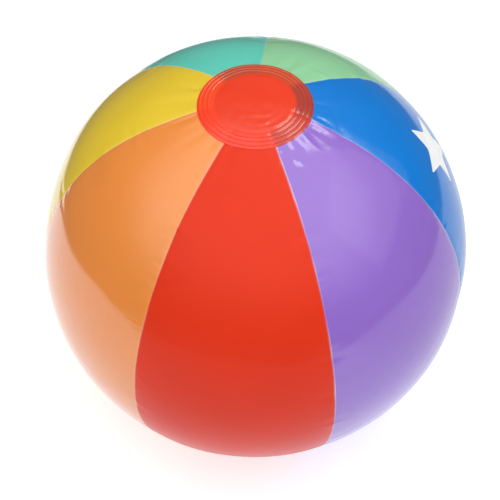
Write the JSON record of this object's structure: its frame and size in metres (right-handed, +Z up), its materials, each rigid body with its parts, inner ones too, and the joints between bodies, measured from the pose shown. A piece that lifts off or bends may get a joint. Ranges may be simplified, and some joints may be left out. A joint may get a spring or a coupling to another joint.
{
  "type": "inflatable beach ball",
  "caption": "Inflated round beach ball of welded coloured film gores with an end disc at each pole and a push-in blow valve with a tethered plug.",
  "frame": {"origin": "middle of the flat patch that the ball rests on, below its centre", "axes": "+Z up through both poles; -Y through the middle of the red gore; +X to the right of someone who faces the red gore"},
  "size_m": [0.3, 0.3, 0.2989],
  "materials": {
    "vinyl_red": "glossy vinyl film",
    "vinyl_purple": "glossy vinyl film",
    "vinyl_blue": "glossy vinyl film",
    "vinyl_green": "glossy vinyl film",
    "vinyl_teal": "glossy vinyl film",
    "vinyl_yellow": "glossy vinyl film",
    "vinyl_orange": "glossy vinyl film",
    "vinyl_disc": "glossy translucent vinyl film",
    "valve_clear": "soft milky vinyl, satin",
    "valve_plug": "soft red vinyl, satin"
  },
  "bodies": {
    "ball": {"gore_red": "vinyl_red", "gore_purple": "vinyl_purple", "gore_blue": "vinyl_blue", "gore_green": "vinyl_green", "gore_teal": "vinyl_teal", "gore_yellow": "vinyl_yellow", "gore_orange": "vinyl_orange", "top_disc": "vinyl_disc", "bottom_disc": "vinyl_disc", "valve_flange": "valve_clear", "valve_skirt": "valve_clear"},
    "stem": {"valve_stem": "valve_clear", "valve_tether": "valve_plug"},
    "flap": {"check_flap": "valve_clear"},
    "plug": {"valve_plug": "valve_plug"}
  },
  "joints": [
    {"name": "valve_push", "type": "slide", "parent": "ball", "child": "stem", "axis": [-0.3554, 0.738, -0.5736], "range_m": [0, 0.014], "deforming": ["valve_skirt"]},
    {"name": "plug_pull", "type": "slide", "parent": "stem", "child": "plug", "axis": [-0.3554, 0.738, -0.5736], "range_m": [0, 0.009], "deforming": ["valve_tether"]},
    {"name": "flap_open", "type": "hinge", "parent": "stem", "child": "flap", "pos_m": [-0.04783, 0.09932, 0.07737], "axis": [-0.901, -0.4339, 0], "range_deg": [0, 70], "stiffness_Nm_per_rad": 0.00005}
  ]
}
